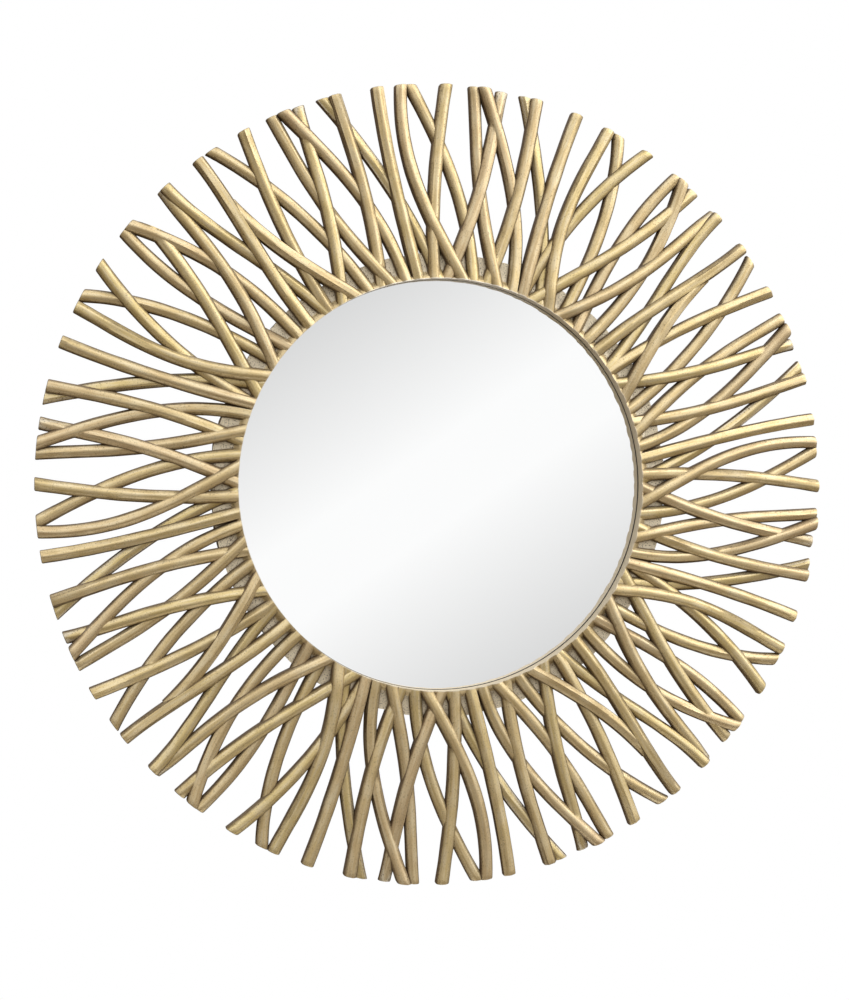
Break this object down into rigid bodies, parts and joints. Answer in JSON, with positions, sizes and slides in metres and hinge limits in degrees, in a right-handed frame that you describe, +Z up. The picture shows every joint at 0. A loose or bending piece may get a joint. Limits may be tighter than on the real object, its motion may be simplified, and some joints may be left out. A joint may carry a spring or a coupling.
{
  "type": "wall mirror",
  "caption": "Round wall mirror in a wide cast frame of crossing gold twigs that fan out from a plain round glass to a clean round rim, with a keyhole hanger on the back.",
  "frame": {"origin": "on the back face of the hanger plate, in the plane of the wall, 150 mm above the middle of the glass", "axes": "+Z up, +Y into the wall, the mirror faces -Y, +X to the right as seen from the front"},
  "size_m": [0.798, 0.0299, 0.798],
  "materials": {
    "gold_resin": "antique champagne gold, brown wash in the hollows",
    "silvered_glass": "polished",
    "brown_board": "plain hardboard",
    "zinc_steel": "zinc plated"
  },
  "bodies": {
    "root": {"twig_frame": "gold_resin", "mirror_glass": "silvered_glass", "backing_board": "brown_board", "hanger_plate": "zinc_steel", "hanger_screw_1": "zinc_steel", "hanger_screw_2": "zinc_steel", "board_screw_1": "zinc_steel", "board_screw_2": "zinc_steel", "board_screw_3": "zinc_steel", "board_screw_4": "zinc_steel", "board_screw_5": "zinc_steel", "board_screw_6": "zinc_steel"}
  },
  "joints": []
}
